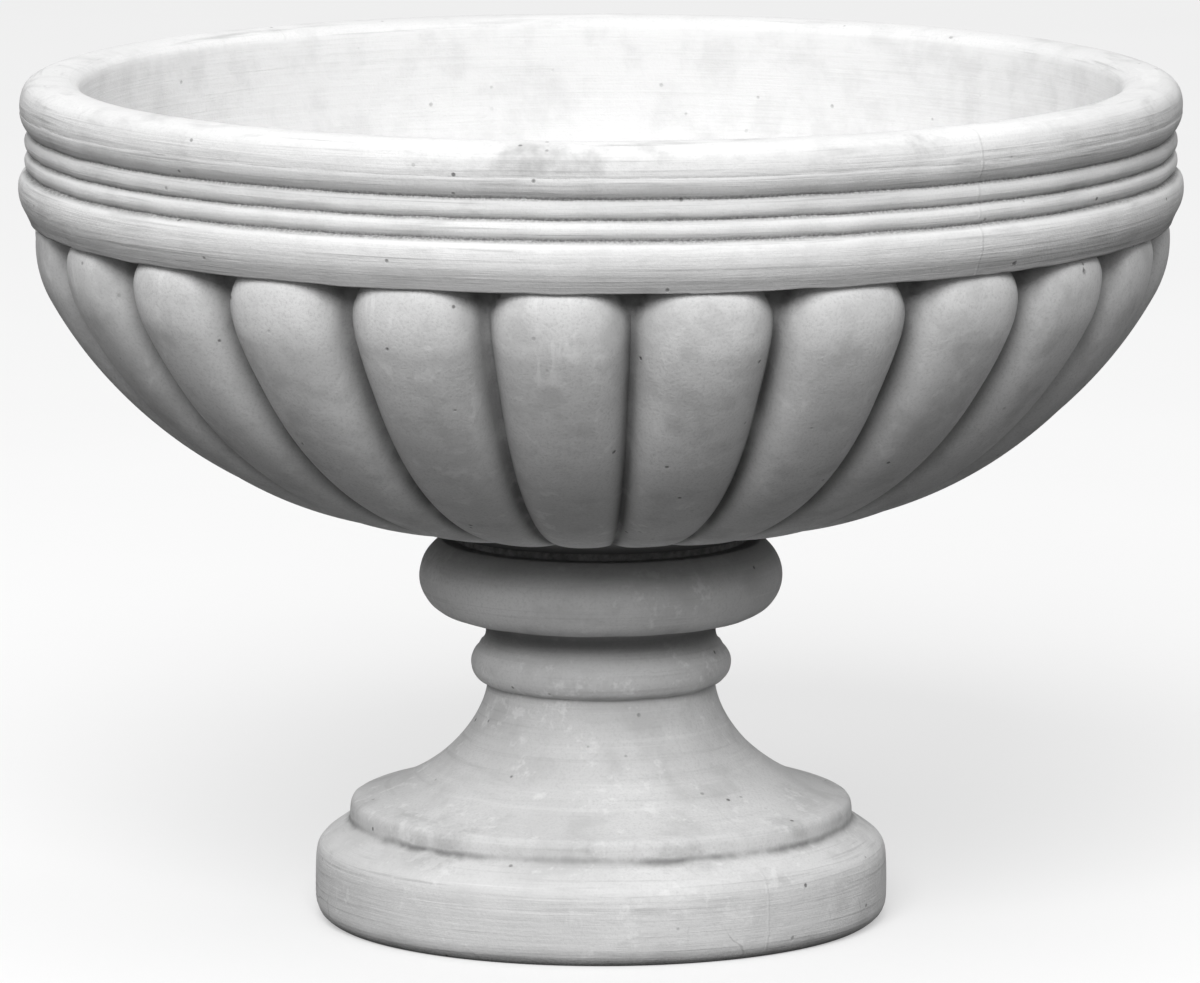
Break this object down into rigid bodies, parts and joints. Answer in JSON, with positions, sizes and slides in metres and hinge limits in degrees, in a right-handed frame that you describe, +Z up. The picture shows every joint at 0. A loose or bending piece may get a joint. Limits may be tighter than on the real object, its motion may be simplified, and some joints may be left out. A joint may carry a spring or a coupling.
{
  "type": "urn planter",
  "caption": "Cast stone urn planter: wide gadrooned bowl with a banded, beaded and rolled rim, bedded on a turned pedestal with torus, collar and flared foot on a round plinth.",
  "frame": {"origin": "centre of the pedestal's underside, on the ground", "axes": "+Z up along the axis of the bowl and pedestal, front faces -Y"},
  "size_m": [0.7664, 0.7662, 0.5603],
  "materials": {
    "stone": "matt, hand-finished cast stone with fine bug holes",
    "mortar": "matt, raked back",
    "sleeve": "matt",
    "bar": "plain rolled"
  },
  "bodies": {
    "root": {"bowl": "stone", "pedestal": "stone", "mortar_bed": "mortar", "drain_sleeve": "sleeve", "stem_bars": "bar"}
  },
  "joints": []
}
